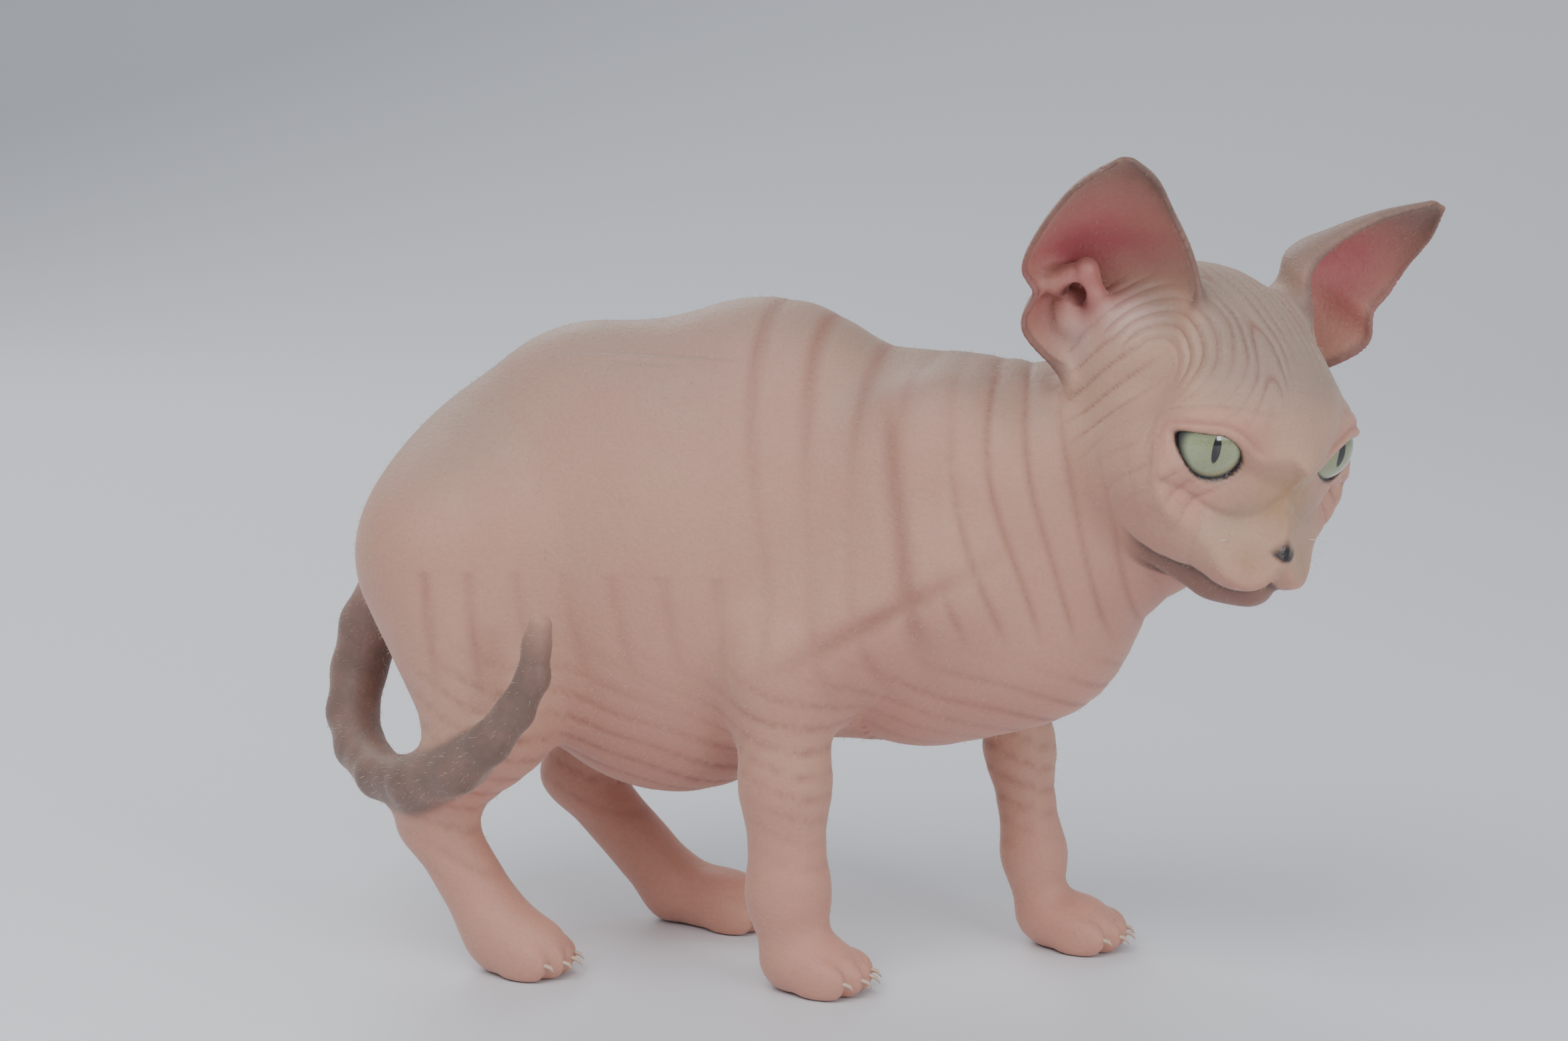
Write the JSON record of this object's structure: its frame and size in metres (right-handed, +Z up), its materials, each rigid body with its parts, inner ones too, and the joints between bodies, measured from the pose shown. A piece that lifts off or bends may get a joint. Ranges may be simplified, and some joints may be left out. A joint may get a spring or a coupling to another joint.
{
  "type": "sphynx cat",
  "caption": "Life-size model of a young sphynx cat standing on four paws, head turned to its right and lowered, tail curled forward along its flank.",
  "frame": {"origin": "centre of the bounding box on the floor between the paws", "axes": "+X toward the chest and head, +Y to the cat's left, +Z up"},
  "size_m": [0.2786, 0.1152, 0.2146],
  "materials": {
    "skin": "soft matte skin",
    "tail": "soft matte skin",
    "ear": "soft matte skin",
    "lid": "soft matte skin",
    "eye": "wet gloss",
    "nose": "moist satin"
  },
  "bodies": {
    "root": {"torso": "skin", "neck": "skin", "head": "skin", "lower_jaw": "skin", "nose_leather": "nose", "eye_right": "eye", "eye_left": "eye", "eyelids_right": "lid", "eyelids_left": "lid", "ear_right": "ear", "ear_left": "ear", "foreleg_right": "skin", "forepaw_right": "skin", "foreleg_left": "skin", "forepaw_left": "skin", "thigh_right": "skin", "shank_right": "skin", "hindpaw_right": "skin", "thigh_left": "skin", "shank_left": "skin", "hindpaw_left": "skin", "tail_root": "tail", "tail_bend": "tail", "tail_tip": "tail"}
  },
  "joints": []
}
